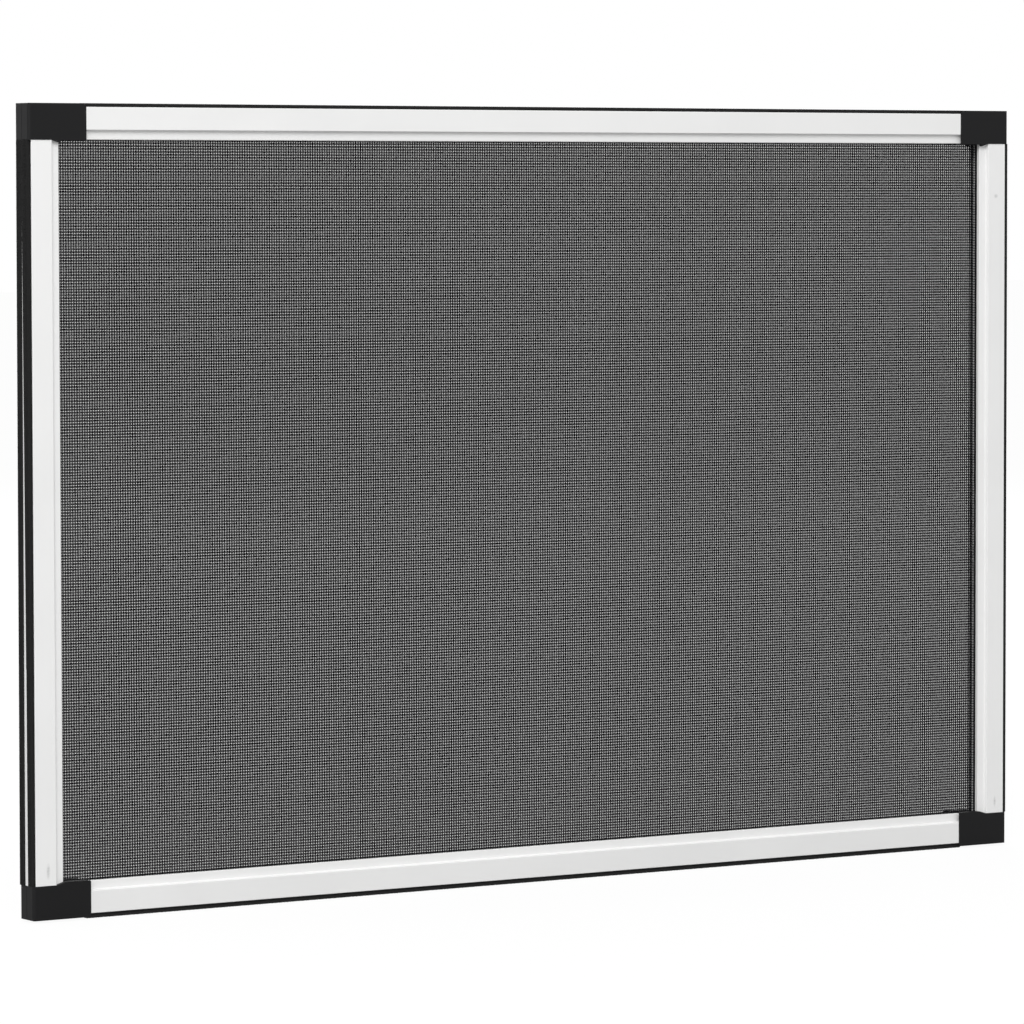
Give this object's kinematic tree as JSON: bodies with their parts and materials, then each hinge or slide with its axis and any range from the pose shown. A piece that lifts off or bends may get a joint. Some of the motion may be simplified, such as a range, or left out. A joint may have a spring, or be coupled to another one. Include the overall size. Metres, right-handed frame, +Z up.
{
  "type": "extendable window insect screen",
  "caption": "Sliding window insect screen: framed net panels back to back, with black corner blocks and pile brush edges, that pull out to widen.",
  "frame": {"origin": "bottom centre of the closed screen, midway between the two panels", "axes": "+X along the width, the way the rear panel slides out; +Y backwards, away from the room; +Z up"},
  "size_m": [0.75, 0.0176, 0.5],
  "materials": {
    "white_aluminium": "white powder coat, satin",
    "black_plastic": "moulded, fine matt grain",
    "pile_brush": "dense short pile",
    "net": "coated glass fibre net",
    "net_cord": "matt soft cord"
  },
  "bodies": {
    "front_panel": {"front_bottom_rail": "white_aluminium", "front_top_rail": "white_aluminium", "front_left_stile": "white_aluminium", "front_right_stile": "white_aluminium", "front_bottom_brush": "pile_brush", "front_top_brush": "pile_brush", "front_left_brush": "pile_brush", "front_right_brush": "pile_brush", "front_bottom_left_corner": "black_plastic", "front_top_left_corner": "black_plastic", "front_bottom_right_corner": "black_plastic", "front_top_right_corner": "black_plastic", "front_net": "net", "front_net_cord": "net_cord"},
    "rear_panel": {"rear_bottom_rail": "white_aluminium", "rear_top_rail": "white_aluminium", "rear_left_stile": "white_aluminium", "rear_right_stile": "white_aluminium", "rear_bottom_brush": "pile_brush", "rear_top_brush": "pile_brush", "rear_left_brush": "pile_brush", "rear_right_brush": "pile_brush", "rear_bottom_left_corner": "black_plastic", "rear_top_left_corner": "black_plastic", "rear_bottom_right_corner": "black_plastic", "rear_top_right_corner": "black_plastic", "rear_net": "net", "rear_net_cord": "net_cord"}
  },
  "joints": [
    {"name": "extend_slide", "type": "slide", "parent": "front_panel", "child": "rear_panel", "axis": [1, 0, 0], "range_m": [0, 0.68]}
  ]
}
